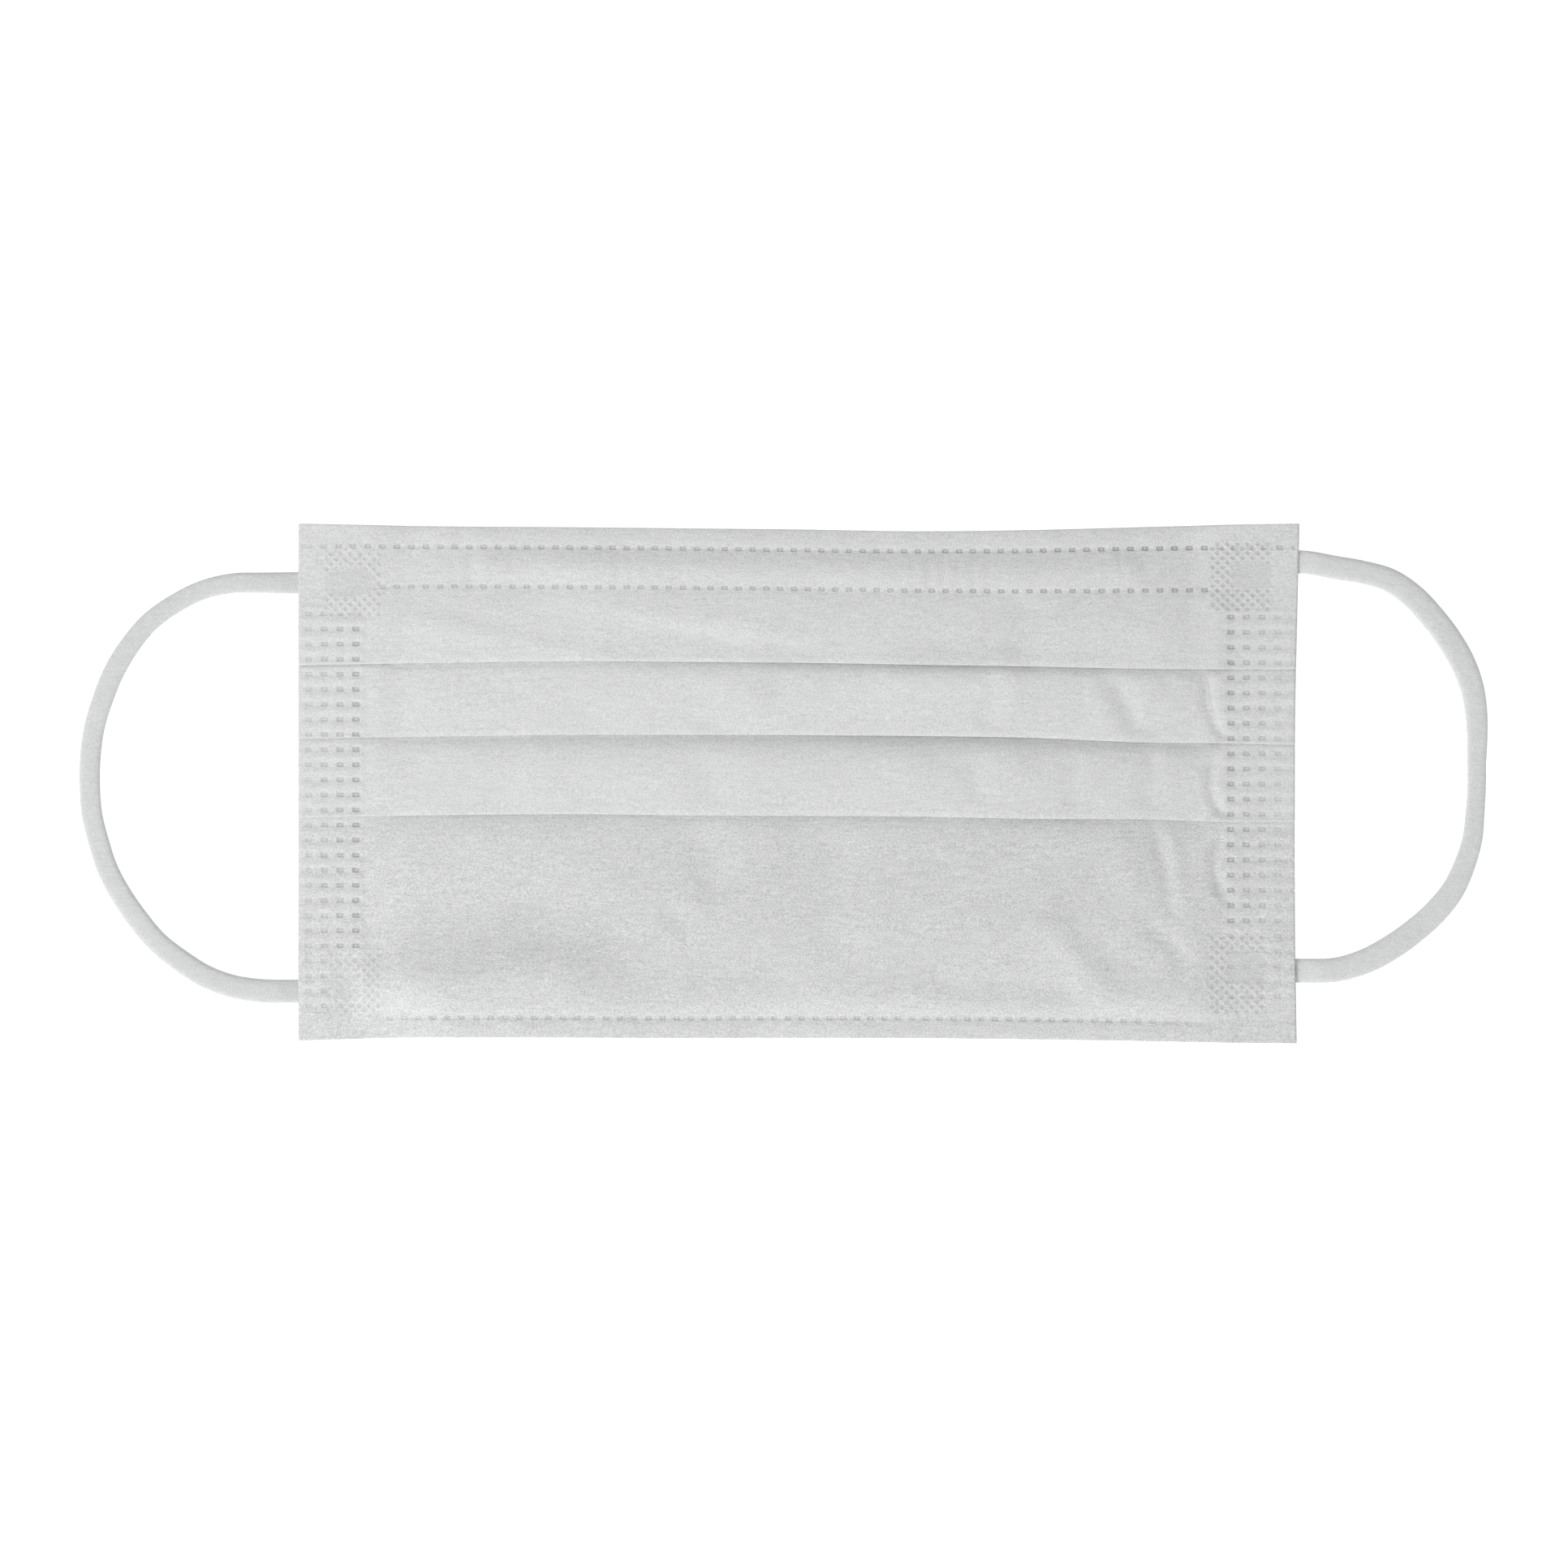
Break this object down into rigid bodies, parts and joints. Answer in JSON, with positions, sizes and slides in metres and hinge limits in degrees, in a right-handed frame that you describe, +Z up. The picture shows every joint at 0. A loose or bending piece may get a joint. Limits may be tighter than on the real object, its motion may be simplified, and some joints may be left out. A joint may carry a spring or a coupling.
{
  "type": "surgical face mask",
  "caption": "Pleated nonwoven face mask lying flat, outer side up, with hemmed edges, a nose wire and soft elastic ear loops.",
  "frame": {"origin": "on the surface the mask lies on, under the middle of the mask's body", "axes": "+X along the mask's length towards the picture's right, +Y from chin edge to nose edge, +Z up out of the outer face"},
  "size_m": [0.2472, 0.091, 0.0053],
  "materials": {
    "nonwoven_sheet": "matte off-white spunbond",
    "wire_coating": "matte white coating",
    "loop_elastic": "matte off-white fine knit"
  },
  "bodies": {
    "root": {"mask_body": "nonwoven_sheet", "nose_wire": "wire_coating", "ear_loop_left": "loop_elastic", "ear_loop_right": "loop_elastic"}
  },
  "joints": []
}
